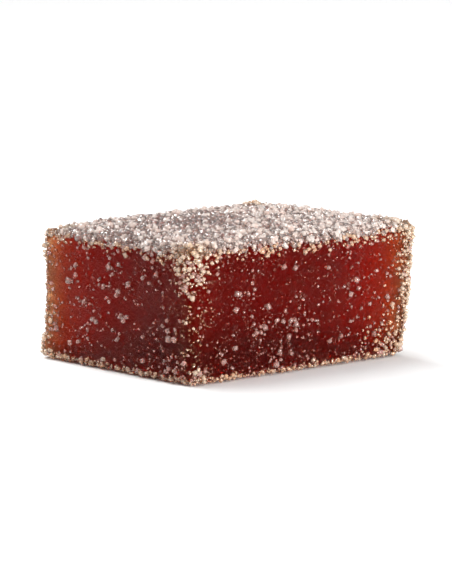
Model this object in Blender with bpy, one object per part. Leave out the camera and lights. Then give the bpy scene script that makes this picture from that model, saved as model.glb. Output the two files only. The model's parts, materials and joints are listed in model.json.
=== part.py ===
"""One piece of pate de fruit: a hand-cut block of dark red fruit jelly, rolled in granulated sugar.

The block lies flat on its underside. X runs along its longer side, Y across it and Z up, and the
origin is the middle of the underside. All sizes are in metres.
"""

import math
import random

import bmesh
import bpy
from mathutils import Matrix, Vector, noise

MM = 0.001

# Driving dimensions of the jelly block
LENGTH = 28.0 * MM
WIDTH = 22.4 * MM
THICKNESS = 12.6 * MM
RIM_RADIUS = 0.9 * MM
CROWN = 0.35 * MM
SIDE_HOLLOW = 0.1 * MM

# How far each upright edge strays from the true box, as (x, y, z) at the underside and at the top:
# the knife wandered and the jelly slumped, so no two are alike.
EDGE_STRAY = {
    (-1, -1): ((0.6 * MM, 0.5 * MM, 0), (-0.1 * MM, -0.3 * MM, 0)),
    (1, -1): ((-1.2 * MM, -0.4 * MM, 0), (-0.15 * MM, -1.0 * MM, 0.45 * MM)),
    (1, 1): ((0.2 * MM, 0.2 * MM, 0), (0.8 * MM, 0.6 * MM, 0)),
    (-1, 1): ((-0.6 * MM, 0.1 * MM, 0), (-0.35 * MM, -0.5 * MM, 0)),
}

# How early on its way up an edge reaches its top place: at 1 it leans evenly, and above 1 it draws in
# only near the underside.
EDGE_BOW = 3

# Soft bumps of the cut faces and the sugar crust on top, as (depth, wavelength).
# They fade out over the last bit of each side, so that the underside stays flat.
FACE_BUMPS = ((0.16 * MM, 6.0 * MM), (0.07 * MM, 1.9 * MM))
CRUST_BUMPS = (0.14 * MM, 1.1 * MM)
FLAT_FOOT = 0.8 * MM

# About how far apart the grid lines of the block are
GRID_STEP = 1.75 * MM

# The largest sugar crystals, fused to the jelly. Each is a block with two opposite edges cut off.
CRYSTAL_COUNT = 300
CRYSTAL_SIZE = (0.45 * MM, 0.85 * MM)
CRYSTAL_PROPORTIONS = (1.0, 0.8, 0.7)
CRYSTAL_CUT = 0.3
CRYSTAL_TILT = math.radians(30)
CRYSTAL_PROUD = 0.1
CRYSTAL_SPACING = 1.12
TOP_SHARE = 2.6
TRIES_EACH = 6
SEED = 12

JELLY_RED = (0.115, 0.007, 0.006, 1.0)
JELLY_ROUGHNESS = 0.45


def clear_scene():
    for obj in list(bpy.data.objects):
        bpy.data.objects.remove(obj)


def grid_lines(low, high):
    """Where to cut an axis of the block: even steps over the flat, and one more inside each rounded rim."""
    first, last = low + RIM_RADIUS, high - RIM_RADIUS
    steps = round((last - first) / GRID_STEP)
    even = [first + (last - first) * i / steps for i in range(steps + 1)]
    in_rim = RIM_RADIUS * math.tan(math.radians(22.5))
    return [first - in_rim, *even, last + in_rim]


def rounded(point):
    """A point of the plain box, moved onto the box with rounded rims, and the way out of the block there."""
    core = Vector((
        max(-LENGTH / 2 + RIM_RADIUS, min(LENGTH / 2 - RIM_RADIUS, point.x)),
        max(-WIDTH / 2 + RIM_RADIUS, min(WIDTH / 2 - RIM_RADIUS, point.y)),
        max(RIM_RADIUS, min(THICKNESS - RIM_RADIUS, point.z)),
    ))
    outward = (point - core).normalized()
    return core + outward * RIM_RADIUS, outward


def bumps(point, depth, wavelength):
    return depth * noise.noise(point / wavelength)


def uneven(point, outward):
    """A point of the rounded box, moved onto the hand-cut block."""
    u, v, w = 2 * point.x / LENGTH, 2 * point.y / WIDTH, point.z / THICKNESS
    pinch = SIDE_HOLLOW * 4 * w * (1 - w)
    rise = 1 - (1 - w) ** EDGE_BOW
    moved = point - Vector((u, v, 0)) * pinch
    for (side_x, side_y), (at_foot, at_top) in EDGE_STRAY.items():
        share = (1 + side_x * u) * (1 + side_y * v) / 4
        moved += share * Vector(at_foot).lerp(Vector(at_top), rise)
    moved.z += CROWN * w * (1 - u * u) * (1 - v * v)
    depth = sum(bumps(point, *layer) for layer in FACE_BUMPS)
    depth += bumps(point, *CRUST_BUMPS) * max(0, outward.z)
    return moved + outward * depth * min(1, point.z / FLAT_FOOT)


def block():
    """The jelly block as a closed mesh, cut into a grid and then shaped."""
    mesh = bmesh.new()
    bmesh.ops.create_cube(mesh, size=1)
    box = Matrix.Translation((0, 0, THICKNESS / 2)) @ Matrix.Diagonal((LENGTH, WIDTH, THICKNESS, 1))
    bmesh.ops.transform(mesh, matrix=box, verts=mesh.verts)
    spans = ((-LENGTH / 2, LENGTH / 2), (-WIDTH / 2, WIDTH / 2), (0, THICKNESS))
    for axis, span in enumerate(spans):
        normal = Vector((axis == 0, axis == 1, axis == 2))
        for line in grid_lines(*span):
            everything = mesh.verts[:] + mesh.edges[:] + mesh.faces[:]
            bmesh.ops.bisect_plane(mesh, geom=everything, plane_co=normal * line, plane_no=normal)
    for vert in mesh.verts:
        vert.co = uneven(*rounded(vert.co))
    bmesh.ops.triangulate(mesh, faces=mesh.faces)
    mesh.normal_update()
    return mesh


def crystal():
    """One sugar crystal of size 1 about the origin, as a mesh."""
    mesh = bmesh.new()
    bmesh.ops.create_cube(mesh, size=1)
    middles = {edge: (edge.verts[0].co + edge.verts[1].co) / 2 for edge in mesh.edges}
    cut = [edge for edge, middle in middles.items() if abs(middle.z) < 0.1 and middle.x * middle.y > 0]
    bmesh.ops.bevel(mesh, geom=cut, offset=CRYSTAL_CUT, segments=1, affect="EDGES")
    bmesh.ops.scale(mesh, vec=CRYSTAL_PROPORTIONS, verts=mesh.verts)
    data = bpy.data.meshes.new("sugar_crystal")
    mesh.to_mesh(data)
    mesh.free()
    return data


def sugar_share(face):
    """How much sugar a face of the block takes for its area: most on top, and none on the underside."""
    if face.normal.z < -0.5:
        return 0
    return face.calc_area() * (1 + (TOP_SHARE - 1) * max(0, face.normal.z))


def place_on(face, draw):
    """A random point of a triangle, evenly spread over its area."""
    first, second, third = (vert.co for vert in face.verts)
    a, b = draw.random(), draw.random()
    if a + b > 1:
        a, b = 1 - a, 1 - b
    return first + a * (second - first) + b * (third - first)


def crystal_pose(place, outward, size, draw):
    """The matrix that sets a crystal into the surface, turned and tilted at random."""
    turn = Matrix.Rotation(draw.uniform(0, math.tau), 4, "Z")
    lean_axis = Vector((draw.uniform(-1, 1), draw.uniform(-1, 1), 0))
    lean = Matrix.Rotation(draw.uniform(0, CRYSTAL_TILT), 4, lean_axis)
    stand = outward.to_track_quat("Z", "Y").to_matrix().to_4x4()
    centre = place + outward * size * CRYSTAL_PROUD
    return Matrix.Translation(centre) @ stand @ lean @ turn @ Matrix.Scale(size, 4)


def scatter_crystals(mesh, into):
    """Sets the crystals over the block, largest first. Of a few random places, each takes the emptiest."""
    draw = random.Random(SEED)
    data = crystal()
    faces = mesh.faces[:]
    shares = [sugar_share(face) for face in faces]
    small, large = CRYSTAL_SIZE
    taken = []
    while len(taken) < CRYSTAL_COUNT:
        size = large + (small - large) * len(taken) / CRYSTAL_COUNT
        tries = [(place_on(face, draw), face.normal) for face in draw.choices(faces, shares, k=TRIES_EACH)]
        room = [min([(place - other).length for other in taken], default=1) for place, _ in tries]
        place, outward = tries[room.index(max(room))]
        pose = crystal_pose(place, outward, size, draw)
        lowest = min((pose @ vert.co).z for vert in data.vertices)
        if lowest < 0 or max(room) < size * CRYSTAL_SPACING:
            continue
        taken.append(place)
        piece = bpy.data.objects.new("crystal", data)
        piece.matrix_world = pose
        into.objects.link(piece)


def jelly_material():
    material = bpy.data.materials.new("sugared_fruit_jelly")
    material.use_nodes = True
    shader = material.node_tree.nodes["Principled BSDF"]
    shader.inputs["Base Color"].default_value = JELLY_RED
    shader.inputs["Roughness"].default_value = JELLY_ROUGHNESS
    shader.inputs["Metallic"].default_value = 0
    return material


def fuse(obj, collection):
    """Joins a collection's solids to an object with one union, and then removes them."""
    union = obj.modifiers.new("fuse_crystals", "BOOLEAN")
    union.operation = "UNION"
    union.operand_type = "COLLECTION"
    union.collection = collection
    union.solver = "MANIFOLD"
    graph = bpy.context.evaluated_depsgraph_get()
    fused = bpy.data.meshes.new_from_object(obj.evaluated_get(graph))
    obj.modifiers.clear()
    obj.data = fused
    for piece in list(collection.objects):
        bpy.data.objects.remove(piece)
    bpy.data.collections.remove(collection)


def main():
    clear_scene()
    mesh = block()
    data = bpy.data.meshes.new("pate_de_fruit")
    mesh.to_mesh(data)
    data.materials.append(jelly_material())
    piece = bpy.data.objects.new("pate_de_fruit", data)
    bpy.context.scene.collection.objects.link(piece)
    crystals = bpy.data.collections.new("crystals")
    bpy.context.scene.collection.children.link(crystals)
    scatter_crystals(mesh, crystals)
    mesh.free()
    fuse(piece, crystals)


main()
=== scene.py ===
# %% [markdown]
# # A sugared fruit jelly
# Pate de fruit is fruit pulp boiled with sugar and pectin, poured out as a slab, cut by hand and
# rolled in granulated sugar. What the eye meets is three things at once: a clear dark red jelly that
# lets light through where it is thin, a crust of clear crystals on top, and a frost of finer sugar on
# the cut sides. Each of the three is made below as real geometry.
#
# The imported part is the fixed frame. It is loaded first, so that every later piece is built around it,
# and its box is printed.

import json
import math
import random

import bmesh
import bpy
import numpy as np
from mathutils import Matrix, Vector, noise

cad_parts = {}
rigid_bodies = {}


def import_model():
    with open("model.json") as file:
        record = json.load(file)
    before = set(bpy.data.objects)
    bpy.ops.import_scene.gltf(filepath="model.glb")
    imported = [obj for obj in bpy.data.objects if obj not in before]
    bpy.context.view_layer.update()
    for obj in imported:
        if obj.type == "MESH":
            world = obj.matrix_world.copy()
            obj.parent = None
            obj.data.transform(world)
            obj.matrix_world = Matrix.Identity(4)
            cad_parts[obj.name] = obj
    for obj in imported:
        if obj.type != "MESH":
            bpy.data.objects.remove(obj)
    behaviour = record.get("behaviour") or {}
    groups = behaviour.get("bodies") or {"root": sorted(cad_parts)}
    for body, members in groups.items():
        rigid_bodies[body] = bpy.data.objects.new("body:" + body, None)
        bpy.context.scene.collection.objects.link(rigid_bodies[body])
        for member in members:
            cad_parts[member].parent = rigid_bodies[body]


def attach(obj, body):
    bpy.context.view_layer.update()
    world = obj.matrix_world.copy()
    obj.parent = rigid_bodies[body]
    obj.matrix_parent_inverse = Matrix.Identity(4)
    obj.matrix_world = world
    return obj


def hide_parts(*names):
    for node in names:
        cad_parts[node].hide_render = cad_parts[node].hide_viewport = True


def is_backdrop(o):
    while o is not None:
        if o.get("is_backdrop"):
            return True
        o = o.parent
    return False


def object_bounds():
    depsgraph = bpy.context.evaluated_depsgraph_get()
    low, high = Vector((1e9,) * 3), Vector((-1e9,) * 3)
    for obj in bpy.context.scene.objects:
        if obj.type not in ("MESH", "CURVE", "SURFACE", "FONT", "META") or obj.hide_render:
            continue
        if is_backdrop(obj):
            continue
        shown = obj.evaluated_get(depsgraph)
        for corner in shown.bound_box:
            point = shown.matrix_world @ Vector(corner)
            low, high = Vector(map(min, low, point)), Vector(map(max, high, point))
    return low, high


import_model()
cad_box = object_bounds()
NODE = "pate_de_fruit"
BODY = "root"
for corner, name in zip(cad_box, ("lowest", "highest")):
    print(f"packed part, {name} corner in mm:", [round(x * 1000, 2) for x in corner])

# %% [markdown]
# ## Sizes
# The block's own sizes are the part's driving dimensions, repeated here in metres, because the same
# rule that shapes the solid shapes the fine jelly too. A millimetre is given a name, so that each
# size reads as a real one.

# %% The block's driving dimensions
MM = 0.001
LENGTH = 28.0 * MM
WIDTH = 22.4 * MM
THICKNESS = 12.6 * MM
RIM_RADIUS = 0.9 * MM
CROWN = 0.35 * MM
SIDE_HOLLOW = 0.1 * MM
print(f"block without sugar: {LENGTH / MM:.1f} x {WIDTH / MM:.1f} x {THICKNESS / MM:.1f} mm")

# %% [markdown]
# A knife-cut block is never a true box. Its four upright edges stray, each in its own way, so each has
# its own (x, y, z) offset at the underside and at the top. The edges are bowed, too: with a bow above
# 1 they draw in only near the underside. The offsets could be sculpted in, but as numbers they stay
# easy to read and to change.

# %% How far each upright edge strays
EDGE_STRAY = {
    (-1, -1): ((0.6 * MM, 0.5 * MM, 0), (-0.1 * MM, -0.3 * MM, 0)),
    (1, -1): ((-1.2 * MM, -0.4 * MM, 0), (-0.15 * MM, -1.0 * MM, 0.45 * MM)),
    (1, 1): ((0.2 * MM, 0.2 * MM, 0), (0.8 * MM, 0.6 * MM, 0)),
    (-1, 1): ((-0.6 * MM, 0.1 * MM, 0), (-0.35 * MM, -0.5 * MM, 0)),
}
EDGE_BOW = 3
widest = max(abs(x) for ends in EDGE_STRAY.values() for end in ends for x in end)
print(f"upright edges stray by up to {widest / MM:.1f} mm")

# %% [markdown]
# ## The jelly's shape
# The sides are a little hollow and the rims are round, where the soft jelly slumped. A Bevel modifier
# could round the rims, but then the offsets above would have to follow it. Here a box is cut into a
# grid of lines, with one more line inside each rounded rim, and each point is then moved by a rule.

# %% Cut a box into a grid
def grid_lines(low, high, step):
    first, last = low + RIM_RADIUS, high - RIM_RADIUS
    steps = round((last - first) / step)
    even = [first + (last - first) * i / steps for i in range(steps + 1)]
    in_rim = RIM_RADIUS * math.tan(math.radians(22.5))
    return [first - in_rim, *even, last + in_rim]


def gridded_box(step):
    mesh = bmesh.new()
    bmesh.ops.create_cube(mesh, size=1)
    box = Matrix.Translation((0, 0, THICKNESS / 2)) @ Matrix.Diagonal((LENGTH, WIDTH, THICKNESS, 1))
    bmesh.ops.transform(mesh, matrix=box, verts=mesh.verts)
    spans = ((-LENGTH / 2, LENGTH / 2), (-WIDTH / 2, WIDTH / 2), (0, THICKNESS))
    for axis, span in enumerate(spans):
        normal = Vector((axis == 0, axis == 1, axis == 2))
        for line in grid_lines(*span, step):
            everything = mesh.verts[:] + mesh.edges[:] + mesh.faces[:]
            bmesh.ops.bisect_plane(mesh, geom=everything, plane_co=normal * line, plane_no=normal)
    return mesh


print("grid lines up the block at 1 mm steps:", len(grid_lines(0, THICKNESS, 1 * MM)))

# %% [markdown]
# The rule has two steps. The first pulls a point of the box onto the box with rounded rims, by going
# one radius out from the nearest point of a smaller box inside it. The second adds what the hand did:
# hollow sides, straying edges, a crown on top, and soft bumps that fade out at the flat underside.

# %% Move each point onto the hand-cut block
FACE_BUMPS = ((0.16 * MM, 6.0 * MM), (0.07 * MM, 1.9 * MM))
CRUST_BUMPS = (0.14 * MM, 1.1 * MM)
FLAT_FOOT = 0.8 * MM


def rounded(point):
    core = Vector((
        max(-LENGTH / 2 + RIM_RADIUS, min(LENGTH / 2 - RIM_RADIUS, point.x)),
        max(-WIDTH / 2 + RIM_RADIUS, min(WIDTH / 2 - RIM_RADIUS, point.y)),
        max(RIM_RADIUS, min(THICKNESS - RIM_RADIUS, point.z)),
    ))
    outward = (point - core).normalized()
    return core + outward * RIM_RADIUS, outward


def bumps(point, depth, wavelength):
    return depth * noise.noise(point / wavelength)


def uneven(point, outward):
    u, v, w = 2 * point.x / LENGTH, 2 * point.y / WIDTH, point.z / THICKNESS
    pinch = SIDE_HOLLOW * 4 * w * (1 - w)
    rise = 1 - (1 - w) ** EDGE_BOW
    moved = point - Vector((u, v, 0)) * pinch
    for (side_x, side_y), (at_foot, at_top) in EDGE_STRAY.items():
        share = (1 + side_x * u) * (1 + side_y * v) / 4
        moved += share * Vector(at_foot).lerp(Vector(at_top), rise)
    moved.z += CROWN * w * (1 - u * u) * (1 - v * v)
    depth = sum(bumps(point, *layer) for layer in FACE_BUMPS)
    depth += bumps(point, *CRUST_BUMPS) * max(0, outward.z)
    return moved + outward * depth * min(1, point.z / FLAT_FOOT)


top_middle = uneven(*rounded(Vector((0, 0, THICKNESS))))
print(f"middle of the top is {top_middle.z / MM:.2f} mm up")

# %% [markdown]
# ## The jelly
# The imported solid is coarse, because sizes and contacts need no more. The jelly that is seen gets a
# grid line every 0.3 mm, which also carries the dents that the sugar pressed into it. Its underside
# stands a fifth of a millimetre off the floor, on the sugar round its foot.

# %% Make the fine jelly
FINE_STEP = 0.3 * MM
SUGAR_DENTS = (0.05 * MM, 0.7 * MM)
UNDER_GAP = 0.2 * MM


def fine_jelly():
    mesh = gridded_box(FINE_STEP)
    for vert in mesh.verts:
        vert.co = uneven(*rounded(vert.co))
    bmesh.ops.triangulate(mesh, faces=mesh.faces)
    mesh.normal_update()
    for vert in mesh.verts:
        vert.co += vert.normal * bumps(vert.co, *SUGAR_DENTS)
        vert.co.z += UNDER_GAP * max(0, 1 - vert.co.z / THICKNESS)
    data = bpy.data.meshes.new("jelly")
    mesh.to_mesh(data)
    mesh.free()
    data.shade_smooth()
    piece = bpy.data.objects.new("jelly", data)
    bpy.context.scene.collection.objects.link(piece)
    return piece


jelly = fine_jelly()
print("jelly triangles:", len(jelly.data.polygons))

# %% [markdown]
# ## Sugar crystals
# Granulated sugar is clear sucrose: blocky crystals, most of them under 0.7 mm long, with flat faces
# and with corners that broke off as they tumbled. A few different ones are enough, because each is
# turned at random. A crystal here is the hull of a box of which some corners are cut, which costs 12
# triangles and 4 more for each cut corner.

# %% Shapes of single crystals
def cut_crystal(cuts, draw):
    proportions = (1.0, draw.uniform(0.68, 0.95), draw.uniform(0.55, 0.85))
    corners = [Vector((x, y, z)) for x in (-0.5, 0.5) for y in (-0.5, 0.5) for z in (-0.5, 0.5)]
    points = []
    for corner in draw.sample(corners, cuts):
        corners.remove(corner)
        for axis in range(3):
            point = corner.copy()
            point[axis] *= 1 - 2 * draw.uniform(0.15, 0.42)
            points.append(point)
    mesh = bmesh.new()
    for point in corners + points:
        mesh.verts.new(Vector(a * b for a, b in zip(point, proportions)))
    bmesh.ops.convex_hull(mesh, input=mesh.verts)
    mesh.verts.index_update()
    verts = np.array([vert.co for vert in mesh.verts])
    faces = np.array([[vert.index for vert in face.verts] for face in mesh.faces])
    mesh.free()
    return verts, faces


def crystal_family(kinds, cuts, seed):
    draw = random.Random(seed)
    return [cut_crystal(cuts, draw) for _ in range(kinds)]


for cuts in (0, 1, 3):
    print(f"triangles of a crystal with {cuts} cut corners:", len(crystal_family(1, cuts, 1)[0][1]))

# %% [markdown]
# Every crystal lies its own way. Four random numbers, taken as a quaternion, give a turn that favours
# no direction, and numpy works out the matrices of thousands of them at once.

# %% Random turns
def random_turns(count, draw):
    quats = draw.normal(size=(count, 4))
    w, x, y, z = (quats / np.linalg.norm(quats, axis=1, keepdims=True)).T
    rows = [
        [1 - 2 * (y * y + z * z), 2 * (x * y - z * w), 2 * (x * z + y * w)],
        [2 * (x * y + z * w), 1 - 2 * (x * x + z * z), 2 * (y * z - x * w)],
        [2 * (x * z - y * w), 2 * (y * z + x * w), 1 - 2 * (x * x + y * y)],
    ]
    return np.moveaxis(np.array(rows), 2, 0)


sample = random_turns(1000, np.random.default_rng(1))
print("mean of 1000 turns, near 0 where no direction is favoured:", round(float(sample.mean()), 3))

# %% [markdown]
# Thousands of crystals could be instanced, but an export drops instances. They are joined here into
# one mesh from arrays: each crystal's points are turned, scaled and moved. Each crystal also gets one
# random number, its tone, which the sugar's material reads to make some crystals whiter than others.

# %% Join many crystals into one mesh
def crystal_mesh(name, points, corners, tones):
    data = bpy.data.meshes.new(name)
    data.vertices.add(len(points))
    data.vertices.foreach_set("co", points.astype(np.float32).ravel())
    data.loops.add(corners.size)
    data.loops.foreach_set("vertex_index", corners.astype(np.int32).ravel())
    data.polygons.add(len(corners))
    data.polygons.foreach_set("loop_start", np.arange(0, corners.size, 3, dtype=np.int32))
    tone = data.attributes.new("tone", "FLOAT", "POINT")
    tone.data.foreach_set("value", tones.astype(np.float32))
    data.update(calc_edges=True)
    data.validate()
    return data


def joined(name, family, places, sizes, turns, draw):
    kinds = draw.integers(len(family), size=len(places))
    all_verts, all_faces, tones, offset = [], [], [], 0
    for kind, (verts, faces) in enumerate(family):
        mine = np.flatnonzero(kinds == kind)
        spots = np.einsum("nij,vj->nvi", turns[mine], verts) * sizes[mine, None, None]
        spots += places[mine, None, :]
        starts = offset + np.arange(len(mine)) * len(verts)
        all_verts.append(spots.reshape(-1, 3))
        all_faces.append((faces[None] + starts[:, None, None]).reshape(-1, 3))
        tones.append(np.repeat(draw.random(len(mine)), len(verts)))
        offset += len(mine) * len(verts)
    corners = np.concatenate(all_faces)
    data = crystal_mesh(name, np.concatenate(all_verts), corners, np.concatenate(tones))
    piece = bpy.data.objects.new(name, data)
    bpy.context.scene.collection.objects.link(piece)
    print(f"{name}: {len(places)} crystals, {len(corners)} triangles")
    return piece


# %% [markdown]
# ## Where sugar sticks
# Sugar lies thick on top, because the piece is set down that way up, and it gathers along rims and in
# soft spots. The sides hold less, in patches. Weight painting could say so, but it would be lost with
# each change of size. Instead a share is worked out for each triangle of the jelly, from its place
# and the way it faces, and crystals are drawn by that share.

# %% Read the jelly as arrays
def surface_of(piece):
    count = len(piece.data.polygons)
    verts = np.empty(len(piece.data.vertices) * 3, np.float32)
    piece.data.vertices.foreach_get("co", verts)
    corners = np.empty(count * 3, np.int32)
    piece.data.polygons.foreach_get("vertices", corners)
    triangles = verts.reshape(-1, 3).astype(float)[corners.reshape(-1, 3)]
    crossed = np.cross(triangles[:, 1] - triangles[:, 0], triangles[:, 2] - triangles[:, 0])
    area = np.linalg.norm(crossed, axis=1) / 2
    return triangles, crossed / (2 * area[:, None]), area, triangles.mean(1)


triangles, normals, areas, middles = surface_of(jelly)
print("jelly surface in square centimetres:", round(areas.sum() * 1e4, 2))

# %% [markdown]
# Two small tools shape the shares. One is soft noise, whose wavelength is the real size of a patch of
# sugar. The other is a smooth step from 0 to 1, which keeps every border of the sugar soft.

# %% Soft patches and soft steps
def patches(points, wavelength, seed):
    shift = Vector((seed * 3.7, seed * 1.3, seed * 2.1))
    return np.array([noise.noise(Vector(p) / wavelength + shift) for p in points])


def step_up(values, low, high):
    share = np.clip((values - low) / (high - low), 0, 1)
    return share * share * (3 - 2 * share)


patchy = patches(middles, 3.0 * MM, 1) + 0.6 * patches(middles, 1.1 * MM, 2)
print("patchiness runs from", round(patchy.min(), 2), "to", round(patchy.max(), 2))

# %% [markdown]
# The top, the sides, the rim at the top, the foot and the round under the foot each take their own
# share. They are told apart by how far a triangle faces up and by how high it lies.

# %% Top, sides, rims and foot
up = normals[:, 2]
height = middles[:, 2]
on_top = step_up(up, 0.3, 0.8)
on_side = (np.abs(up) <= 0.5).astype(float)
near_top = step_up(height, THICKNESS - 1.4 * MM, THICKNESS - 0.2 * MM)
near_foot = step_up(-height, -1.3 * MM, -0.3 * MM)
round_rim = on_side + (up > 0.3) * (1 - on_top)
foot_rim = (up < -0.15) * (height < 0.8 * MM) * step_up(height, 0.05 * MM, 0.3 * MM)
print("triangles on top:", int((on_top > 0.5).sum()), "and on the sides:", int(on_side.sum()))

# %% [markdown]
# The upright edges catch sugar too, but not alike: the nearest one is almost bare below its tongue of
# sugar, and the one to its right is thick with it. The patches are added before the step, so that the
# sugar's border wanders and no edge gets an even stripe.

# %% The upright edges
side_x = np.abs(middles[:, 0]) / (LENGTH / 2)
side_y = np.abs(middles[:, 1]) / (WIDTH / 2)
EDGE_SUGAR = {(-1, -1): 0.12, (1, -1): 2.3, (1, 1): 0.8, (-1, 1): 1.2}
# As shares of the way from the middle to a side: where the sugar starts, and where it is full
EDGE_BAND = (0.78, 1.04)
near_edge = step_up(np.minimum(side_x, side_y) + 0.1 * patchy, *EDGE_BAND) * (1 + 0.8 * patchy)
for (sign_x, sign_y), amount in EDGE_SUGAR.items():
    here = (middles[:, 0] * sign_x > 0) & (middles[:, 1] * sign_y > 0)
    near_edge[here] *= amount
print("triangles on sugared upright edges:", int((near_edge > 0.5).sum()))

# %% [markdown]
# Where syrup wept, small crystals clot at the corners. The first clot is a tongue that hangs from the
# top at the nearest edge, and the last is a patch at the foot of the edge to its right. Where a finger
# pressed, larger crystals stick to a side. Each clump is a place on the block in millimetres, a radius
# and a strength.

# %% Clumps
WEPT = [
    ((-14.0, -11.4, 11.6), 1.9, 4.5),
    ((-13.3, -10.6, 0.5), 1.8, 0.6),
    ((11.2, -11.2, 1.2), 2.6, 3.6),
]
PRESSED = [
    ((-3.6, -11.2, 2.1), 1.2, 2.6),
    ((0.8, -11.2, 4.9), 0.6, 3.5),
    ((-14.1, 3.5, 4.5), 4.0, 0.3),
]


def clumps(spots):
    strengths = np.zeros(len(middles))
    for place, radius, strength in spots:
        away = np.linalg.norm(middles - np.array(place) * MM, axis=1) / (radius * MM)
        strengths += strength * np.exp(-away ** 2)
    return strengths


wept, pressed = clumps(WEPT), clumps(PRESSED)
print("strongest clump:", round(wept.max(), 1), "in syrup and", round(pressed.max(), 1), "pressed on")

# %% [markdown]
# ## Setting the crystals
# Draws that are purely random leave bald spots and lumps. Each new crystal is therefore only kept if
# it is clear of those already there, which is tested on a grid of cells so that it stays quick.

# %% Draw crystal places
NEIGHBOURS = [(x, y, z) for x in (-1, 0, 1) for y in (-1, 0, 1) for z in (-1, 0, 1)]


def random_spots(tries, draw):
    a, b = draw.random(len(tries)), draw.random(len(tries))
    over = a + b > 1
    a[over], b[over] = 1 - a[over], 1 - b[over]
    first, second, third = (triangles[tries, i] for i in range(3))
    return first + a[:, None] * (second - first) + b[:, None] * (third - first)


def draw_places(count, share, sizes, closeness, draw):
    chance = share * areas
    tries = draw.choice(len(areas), size=count * 4, p=chance / chance.sum())
    spots = random_spots(tries, draw)
    cell = sizes.max() * closeness
    cells, kept = {}, []
    for i, spot in enumerate(spots):
        if len(kept) == count:
            break
        size = sizes[len(kept)]
        x, y, z = (spot // cell).astype(int)
        near = [pair for dx, dy, dz in NEIGHBOURS for pair in cells.get((x + dx, y + dy, z + dz), ())]
        if any(np.linalg.norm(spot - spots[j]) < closeness * (size + wide) / 2 for j, wide in near):
            continue
        cells.setdefault((x, y, z), []).append((i, size))
        kept.append(i)
    return spots[kept], normals[tries[kept]], sizes[:len(kept)]


print("cells looked at round each new crystal:", len(NEIGHBOURS))

# %% [markdown]
# A layer of sugar is a count of crystals between two sizes, set in by a part of their own size. Sieved
# sugar has many small crystals and few large ones, so a random number is raised to a power, the skew,
# and the largest are set first, while there is room. None may reach below the floor.

# %% One layer of sugar
ABOVE_FLOOR = 0.8


def sugar_layer(
    name, share, count, sizes_mm, cuts, seed, kinds=8, proud=(0.05, 0.3), closeness=0.75, skew=2,
):
    draw = np.random.default_rng(seed)
    small, large = (size * MM for size in sizes_mm)
    sizes = small + (large - small) * draw.random(count) ** skew
    sizes = np.sort(sizes)[::-1]
    spots, outward, sizes = draw_places(count, share, sizes, closeness, draw)
    spots = spots + outward * (sizes * draw.uniform(*proud, len(sizes)))[:, None]
    spots[:, 2] = np.maximum(spots[:, 2], ABOVE_FLOOR * sizes)
    turns = random_turns(len(sizes), draw)
    return joined(name, crystal_family(kinds, cuts, seed), spots, sizes, turns, draw)


print("a crystal's centre stays above the floor by at least", ABOVE_FLOOR, "of its size")

# %% [markdown]
# ## The crust on top
# The crust is two layers. The lower one sits in the jelly's skin and hides most of it. The upper one
# lies loose on the first, thinner a little left of the middle, where the dark jelly shows through.

# %% Make the crust
THIN_PATCH = ((-2.0, 1.5, 12.6), 8.0)
away = np.linalg.norm(middles - np.array(THIN_PATCH[0]) * MM, axis=1) / (THIN_PATCH[1] * MM)
thinned = np.exp(-away ** 2)
toward_right = step_up(middles[:, 0] / (LENGTH / 2) + 1.4 * patchy, -0.9, 0.6)
thick_here = (1 - thinned) * (0.4 + 0.6 * toward_right)
crust_share = on_top * (0.6 + 0.4 * thick_here + 0.5 * near_edge)
top_crust = sugar_layer(
    "sugar_top_crust", crust_share, count=4800, sizes_mm=(0.22, 0.7), cuts=3, seed=11, skew=2.2,
)
loose_share = on_top * (thick_here + 0.4 * near_edge)
top_loose = sugar_layer(
    "sugar_top_loose", loose_share, count=2400, sizes_mm=(0.22, 0.6), cuts=3, seed=12,
    proud=(0.3, 0.78), closeness=0.6,
)

# %% [markdown]
# ## The rims and the upright edges
# Syrup weeps out at the cuts and holds smaller crystals along them. They stand proud of the jelly, so
# that the outline is rough, and a line of them runs round the foot.

# %% Make the rim sugar
rim_share = round_rim * (1.8 * near_top + 0.5 * near_foot + 1.2 * near_edge + 0.5 * wept) + 2 * foot_rim
rim_sugar = sugar_layer(
    "sugar_rim_crystals", rim_share, count=4300, sizes_mm=(0.18, 0.48), cuts=3, seed=16,
    proud=(0.1, 0.5), skew=2.5,
)

# %% [markdown]
# ## The cut sides
# A few whole crystals stick to each side, singly and in patches. Between them is a frost of grains a
# fifth of a millimetre across, thicker near every edge.

# %% Make the crystals and grains of the sides
in_patches = step_up(patchy, -0.05, 0.7)
side_share = on_side * (0.25 + 0.5 * in_patches + 0.5 * near_top + 0.4 * near_foot + 0.4 * wept + pressed)
side_sugar = sugar_layer(
    "sugar_side_crystals", side_share, count=850, sizes_mm=(0.2, 0.55), cuts=3, seed=13,
    proud=(0.05, 0.35), skew=3,
)
grain_share = on_side * (0.7 + 0.5 * in_patches + 1.2 * near_top + 2.0 * near_foot + 4.0 * near_edge)
grain_share += foot_rim * 4
side_grains = sugar_layer(
    "sugar_side_grains", grain_share, count=8500, sizes_mm=(0.1, 0.24), cuts=1, seed=15,
    proud=(0.0, 0.3), closeness=0.7,
)

# %% [markdown]
# The crumbs that broke off the crystals cover everything as a dust, a tenth of a millimetre across and
# less. Plain boxes are enough at that size.

# %% Make the dust
dust_share = 0.4 * on_top + on_side
dust = sugar_layer(
    "sugar_dust", dust_share, count=9000, sizes_mm=(0.05, 0.12), cuts=0, seed=14,
    kinds=5, closeness=0.6,
)
sugar_pieces = [top_crust, top_loose, rim_sugar, side_sugar, side_grains, dust]
print("triangles of all the sugar:", sum(len(piece.data.polygons) for piece in sugar_pieces))

# %% [markdown]
# ## Materials
# Colours are written as sRGB hex values, as read off a screen, and Blender's sockets take linear
# ones. One function turns the first into the second, and one adds a node with its settings and links.

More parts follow.
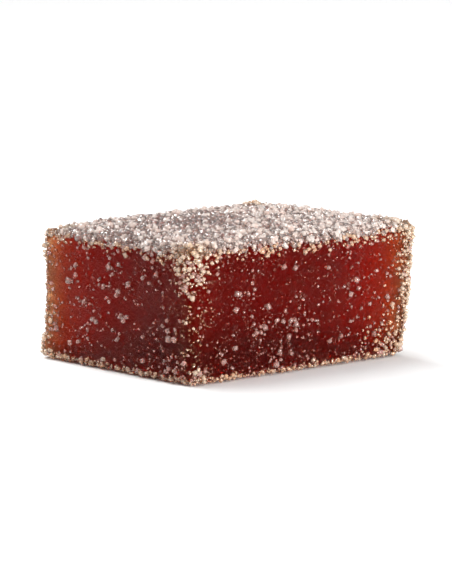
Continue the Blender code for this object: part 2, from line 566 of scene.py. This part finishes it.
# %% Helpers for materials
def linear(hex_colour):
    channels = [int(hex_colour[i:i + 2], 16) / 255 for i in (1, 3, 5)]
    return (*[c / 12.92 if c <= 0.04045 else ((c + 0.055) / 1.055) ** 2.4 for c in channels], 1.0)


def add_node(tree, kind, inputs=None, **settings):
    made = tree.nodes.new(kind)
    for name, value in settings.items():
        setattr(made, name, value)
    for name, value in (inputs or {}).items():
        if isinstance(value, bpy.types.NodeSocket):
            tree.links.new(value, made.inputs[name])
        else:
            made.inputs[name].default_value = value
    return made


def new_material(name):
    material = bpy.data.materials.new(name)
    material.use_nodes = True
    material.node_tree.nodes.clear()
    return material, material.node_tree


print("mid grey #808080 in linear values:", [round(c, 3) for c in linear("#808080")[:3]])

# %% [markdown]
# The jelly's skin and most of the sugar are painted paler and warmer beside the upright edges, a painted
# glow for the light that comes round the corner through a thin wedge of jelly. How near a point is to
# such an edge is read from its place: beside an edge, the distances inward from both faces are small,
# so the larger of the two is too.

# %% How near a point is to an upright edge
SKIN_GLOW_WEDGE = 4.0 * MM
SUGAR_GLOW_WEDGE = 3.5 * MM
FULL_GLOW_WITHIN = 0.3 * MM


def painted_glow_nearness(tree, where, reach):
    at = add_node(tree, "ShaderNodeSeparateXYZ", {"Vector": where})
    inward = []
    for axis, half in (("X", LENGTH / 2), ("Y", WIDTH / 2)):
        out = add_node(tree, "ShaderNodeMath", {0: at.outputs[axis]}, operation="ABSOLUTE")
        left = add_node(tree, "ShaderNodeMath", {0: half, 1: out.outputs["Value"]}, operation="SUBTRACT")
        inward.append(left.outputs["Value"])
    from_edge = add_node(tree, "ShaderNodeMath", {0: inward[0], 1: inward[1]}, operation="MAXIMUM")
    nearness = add_node(tree, "ShaderNodeMapRange", {
        "Value": from_edge.outputs["Value"], "From Min": reach, "From Max": FULL_GLOW_WITHIN,
    })
    return nearness.outputs["Result"]


print(f"colour changes near the edges: {SKIN_GLOW_WEDGE / MM} mm of jelly, {SUGAR_GLOW_WEDGE / MM} mm of sugar")

# %% [markdown]
# ## Set fruit jelly
# The jelly is strained fruit pulp, sugar and pectin, set to a gel and cut with a knife. It could be
# painted a flat dark red, but then no light would pass through its ends. Here light enters through a
# dull, faintly pitted skin and is swallowed on its way: green soon, blue sooner and red last, so that
# thick parts are nearly black, thin ones glow orange, and the middle is a deep red. The skin's tint
# drifts at random in clouds 5 mm wide, because pulp never sets quite even. It is also painted darker
# toward the end at minus x and plus y, as painted shade that dims the light through that end, and
# painted pale cream beside the upright edges, as a painted glow.

# %% Set fruit jelly, knife-cut
def jelly_material():
    material, tree = new_material("set_fruit_jelly")
    where = add_node(tree, "ShaderNodeTexCoord").outputs["Object"]
    # The cut skin is pitted by pulp and by sugar that has melted away, about 0.35 mm across
    pits = add_node(tree, "ShaderNodeTexNoise", {"Vector": where, "Scale": 1 / (0.35 * MM), "Detail": 3.0})
    dents = add_node(tree, "ShaderNodeBump", {
        "Height": pits.outputs["Fac"], "Strength": 1.0, "Distance": 0.2 * MM,
    })
    # Painted shade, darker toward the end at minus x and plus y, with random clouds of tone between
    painted_shade_axis = add_node(tree, "ShaderNodeVectorMath", {0: where, 1: (0.6, -0.8, 0)}, operation="DOT_PRODUCT")
    cloud = add_node(tree, "ShaderNodeTexNoise", {"Vector": where, "Scale": 1 / (5 * MM), "Detail": 1.0})
    cloudy = add_node(tree, "ShaderNodeMath", {
        0: cloud.outputs["Fac"], 1: 8 * MM, 2: painted_shade_axis.outputs["Value"],
    }, operation="MULTIPLY_ADD")
    cloud_and_painted_shade = add_node(tree, "ShaderNodeMapRange", {
        "Value": cloudy.outputs["Value"], "From Min": -13 * MM, "From Max": 9 * MM,
    })
    faces = add_node(tree, "ShaderNodeMix", {
        "Factor": cloud_and_painted_shade.outputs["Result"], "A": linear("#a87048"), "B": linear("#d4a882"),
    }, data_type="RGBA")
    # Painted glow: pale cream beside the upright edges, for light that comes through the thin wedge there
    skin = add_node(tree, "ShaderNodeMix", {
        "Factor": painted_glow_nearness(tree, where, SKIN_GLOW_WEDGE),
        "A": faces.outputs["Result"], "B": linear("#fff0c6"),
    }, data_type="RGBA")
    # Syrup is about 1.45; the soft skin bends light less, and dulls it with its own wet grain
    shader = add_node(tree, "ShaderNodeBsdfPrincipled", {
        "Base Color": skin.outputs["Result"],
        "Roughness": 0.5,
        "IOR": 1.24,
        "Transmission Weight": 1.0,
        "Specular Tint": linear("#ff6c59"),
        "Normal": dents.outputs["Normal"],
    })
    depth = add_node(tree, "ShaderNodeVolumeAbsorption", {"Color": linear("#f39500"), "Density": 600.0})
    add_node(tree, "ShaderNodeOutputMaterial", {
        "Surface": shader.outputs["BSDF"], "Volume": depth.outputs["Volume"],
    })
    print(f"{material.name}: {len(tree.nodes)} nodes")
    return material


jelly.data.materials.append(jelly_material())

# %% [markdown]
# ## Granulated sugar
# Granulated sugar is sucrose, crystallised from syrup, dried and sieved. A crystal is clear, with an
# IOR of 1.54, but its faces are scratched by tumbling and frosted by damp, so that a heap of it looks
# white and sparkles. One function makes all of it. What differs is how far the fruit has stained a
# crystal, how white it is, and how clear it has stayed. The frost's true grain is about a hundredth
# of a millimetre, too fine to show, so it is drawn 0.15 mm wide.

# %% Granulated sugar, crystallised and tumbled
FROST_GRAIN = 0.15 * MM


def sugar_material(name, stained, white, clear, glow_at_edges=None):
    material, tree = new_material(name)
    where = add_node(tree, "ShaderNodeTexCoord").outputs["Object"]
    tone = add_node(tree, "ShaderNodeAttribute", attribute_name="tone").outputs["Fac"]
    etched = add_node(tree, "ShaderNodeTexNoise", {"Vector": where, "Scale": 1 / FROST_GRAIN, "Detail": 2.0})
    whiteness = add_node(tree, "ShaderNodeMath", {
        0: tone, 1: etched.outputs["Fac"], 2: 0.1,
    }, operation="MULTIPLY_ADD")
    colour = add_node(tree, "ShaderNodeMix", {
        "Factor": whiteness.outputs["Value"], "A": linear(stained), "B": linear(white),
    }, data_type="RGBA")
    # Painted glow: a paler, warmer colour beside the upright edges, for light through the jelly's wedge
    if glow_at_edges:
        colour = add_node(tree, "ShaderNodeMix", {
            "Factor": painted_glow_nearness(tree, where, SUGAR_GLOW_WEDGE),
            "A": colour.outputs["Result"], "B": linear(glow_at_edges),
        }, data_type="RGBA")
    frost = add_node(tree, "ShaderNodeMapRange", {
        "Value": etched.outputs["Fac"], "From Min": 0.3, "From Max": 0.7,
        "To Min": 0.05, "To Max": 0.2,
    })
    scratches = add_node(tree, "ShaderNodeBump", {
        "Height": etched.outputs["Fac"], "Strength": 0.3, "Distance": 0.03 * MM,
    })
    shader = add_node(tree, "ShaderNodeBsdfPrincipled", {
        "Base Color": colour.outputs["Result"],
        "Roughness": frost.outputs["Result"],
        "IOR": 1.54,
        "Transmission Weight": clear,
        "Normal": scratches.outputs["Normal"],
    })
    add_node(tree, "ShaderNodeOutputMaterial", {"Surface": shader.outputs["BSDF"]})
    print(f"{material.name}: {len(tree.nodes)} nodes")
    return material


# %% [markdown]
# Sugar takes up colour where it is damp. The lower crust is clear and shows the jelly under it, and
# the loose crystals on it are dry and the whitest. Along the rims syrup has turned them cream, on the
# sides the jelly reddens them, and the finest grains have half melted into it. Beside the upright
# edges a painted glow makes the sugar on top warmer, and the sugar of the rims and the frost paler.

# %% Give each layer its sugar
# Clear and glassy, so that the jelly darkens the crust from below
clear_sugar = sugar_material(
    "clear_granulated_sugar", stained="#f6dcd2", white="#fff6f0", clear=0.85, glow_at_edges="#f2c89c",
)
# Dry, white and sparkling
dry_sugar = sugar_material(
    "dry_granulated_sugar", stained="#ffe6da", white="#fffaf4", clear=0.5, glow_at_edges="#fbdcba",
)
# Cream from the syrup that wept at the cuts
syrup_sugar = sugar_material(
    "syrup_stained_sugar", stained="#f4be90", white="#fff0de", clear=0.55, glow_at_edges="#ffe6cc",
)
# Pink, since the jelly shows through it
damp_sugar = sugar_material("damp_granulated_sugar", stained="#e8a696", white="#ffe8e0", clear=0.7)
# Reddish and dull, as a frost that blurs the jelly
half_melted = sugar_material(
    "half_melted_sugar", stained="#cc7058", white="#f4c0b0", clear=0.8, glow_at_edges="#ffdcb4",
)
finishes = [clear_sugar, dry_sugar, syrup_sugar, damp_sugar, half_melted, half_melted]
for piece, finish in zip(sugar_pieces, finishes):
    piece.data.materials.append(finish)
    print(f"{piece.name} is made of {finish.name}")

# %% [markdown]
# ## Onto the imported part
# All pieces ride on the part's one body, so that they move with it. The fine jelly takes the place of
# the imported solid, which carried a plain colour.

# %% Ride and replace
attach(jelly, BODY)
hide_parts(NODE)
for piece in sugar_pieces:
    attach(piece, BODY)
print("pieces on the body:", 1 + len(sugar_pieces))

# %% [markdown]
# ## The studio
# Small bright things need small bright lights, or they don't sparkle, while clear ones need a broad
# bright surround to show their depth. The surround here is a pale world with one soft round light high
# on the left and a brighter side behind. The camera itself sees plain white, as in a packshot.

# %% Light the world
FRONT_LIGHT = 0.5
BACK_LIGHT = 0.75
TOP_LIGHT = 5.6
WINDOW_DIRECTION = (0.3, 0.95, 0)
LAMP_DIRECTION = (-0.3, 0.39, 0.86)
scene = bpy.context.scene
scene.cycles.max_bounces = 32
scene.cycles.transmission_bounces = 32
scene.view_settings.view_transform = "Standard"
world = bpy.data.worlds.new("studio")
scene.world = world
world.use_nodes = True
tree = world.node_tree
tree.nodes.clear()
looking = add_node(tree, "ShaderNodeTexCoord").outputs["Generated"]
to_window = add_node(
    tree, "ShaderNodeVectorMath", {0: looking, 1: WINDOW_DIRECTION}, operation="DOT_PRODUCT",
)
around = add_node(tree, "ShaderNodeMapRange", {
    "Value": to_window.outputs["Value"], "From Min": 0.3, "From Max": 0.95,
    "To Min": FRONT_LIGHT, "To Max": BACK_LIGHT,
}, interpolation_type="SMOOTHSTEP")
toward_lamp = Vector(LAMP_DIRECTION).normalized()
to_lamp = add_node(tree, "ShaderNodeVectorMath", {0: looking, 1: toward_lamp}, operation="DOT_PRODUCT")
in_lamp = add_node(tree, "ShaderNodeMapRange", {
    "Value": to_lamp.outputs["Value"], "From Min": 0.86, "From Max": 0.95,
}, interpolation_type="SMOOTHSTEP")
level = add_node(tree, "ShaderNodeMix", {
    "Factor": in_lamp.outputs["Result"], "A": around.outputs["Result"], "B": TOP_LIGHT,
}, data_type="FLOAT")
seen = add_node(tree, "ShaderNodeLightPath").outputs["Is Camera Ray"]
shown = add_node(tree, "ShaderNodeMix", {
    "Factor": seen, "A": level.outputs["Result"], "B": 1.0,
}, data_type="FLOAT")
background = add_node(tree, "ShaderNodeBackground", {"Strength": shown.outputs["Result"]})
add_node(tree, "ShaderNodeOutputWorld", {"Surface": background.outputs["Background"]})
print("the overhead light is", round(TOP_LIGHT / FRONT_LIGHT, 1), "times as bright as the front")

# %% [markdown]
# The floor is a sheet of matt white paper, which bounces light up into the jelly and takes a soft
# shadow. A disc is enough, because its edge lies far outside the picture.

# %% Lay the floor
FLOOR_RADIUS = 1.5
floor_mesh = bmesh.new()
bmesh.ops.create_circle(floor_mesh, cap_ends=True, segments=96, radius=FLOOR_RADIUS)
floor_data = bpy.data.meshes.new("floor")
floor_mesh.to_mesh(floor_data)
floor_mesh.free()
floor = bpy.data.objects.new("floor", floor_data)
scene.collection.objects.link(floor)
paper, tree = new_material("matt_paper")
shader = add_node(tree, "ShaderNodeBsdfPrincipled", {"Base Color": linear("#f6f6f6"), "Roughness": 0.9})
add_node(tree, "ShaderNodeOutputMaterial", {"Surface": shader.outputs["BSDF"]})
floor_data.materials.append(paper)
floor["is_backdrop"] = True
print("floor radius in metres:", FLOOR_RADIUS)

# %% [markdown]
# Three lamps finish the light. A tiny hard one in front makes the crystals sparkle. A low soft one
# brings up the near cut sides. A wide one behind lights the paper there, and that light comes through
# the ends of the jelly.

# %% Set the lamps
def area_light(name, place, size, power, target=(0, 0, THICKNESS / 2)):
    data = bpy.data.lights.new(name, "AREA")
    data.size = size
    data.energy = power
    lamp = bpy.data.objects.new(name, data)
    lamp.location = place
    lamp.rotation_euler = (Vector(target) - Vector(place)).to_track_quat("-Z", "Y").to_euler()
    scene.collection.objects.link(lamp)
    print(f"{name}: {size * 1000:.0f} mm wide, {power} W")


area_light("sparkle_lamp", (-0.02, -0.3, 0.32), size=0.012, power=0.35)
area_light("front_softbox", (0.04, -0.3, 0.05), size=0.08, power=1.0)
area_light("back_softbox", (0.05, 0.4, 0.3), size=0.15, power=1.4, target=(0.08, 0.12, 0))

# %% [markdown]
# ## The camera
# The camera looks at the piece from the photo's own direction and distance: a little above, with the
# nearest upright edge left of the middle. A long lens lets the piece fill the picture without moving
# closer, which would make its far corners look small.

# %% Place the camera
VIEW_AZIMUTH = math.radians(-40.8)
VIEW_ELEVATION = math.radians(8.9)
# In pixels of the photo: its height, and the focal length that fits its perspective
FRAME_HIGH = 584
PHOTO_FOCAL = 1060
# What one such pixel spans at the piece, and how many times longer this lens is
PHOTO_SCALE = 0.235 * MM
CLOSER = 2.4
back = Vector((
    math.sin(VIEW_AZIMUTH) * math.cos(VIEW_ELEVATION),
    -math.cos(VIEW_AZIMUTH) * math.cos(VIEW_ELEVATION),
    math.sin(VIEW_ELEVATION),
))
camera_data = bpy.data.cameras.new("camera")
camera_data.sensor_width = 36
camera_data.lens = 36 * PHOTO_FOCAL * CLOSER / FRAME_HIGH
camera_data.clip_start = 0.01
camera = bpy.data.objects.new("camera", camera_data)
camera.location = Vector((0, 0, THICKNESS / 2)) + back * PHOTO_FOCAL * PHOTO_SCALE
camera.rotation_euler = (-back).to_track_quat("-Z", "Y").to_euler()
scene.collection.objects.link(camera)
scene.camera = camera
print(f"lens of {camera_data.lens:.0f} mm, {PHOTO_FOCAL * PHOTO_SCALE * 1000:.0f} mm from the piece")

# %% [markdown]
# ## Measure and finish
# The look's box is measured and printed, axis by axis. The look may not outgrow the
# part.

# %% Measure the look's box and finish
bpy.context.view_layer.update()
visual_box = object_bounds()
for axis, low, high in zip("xyz", *visual_box):
    print(f"{axis}: the look is {(high - low) * 1000:.2f} mm")
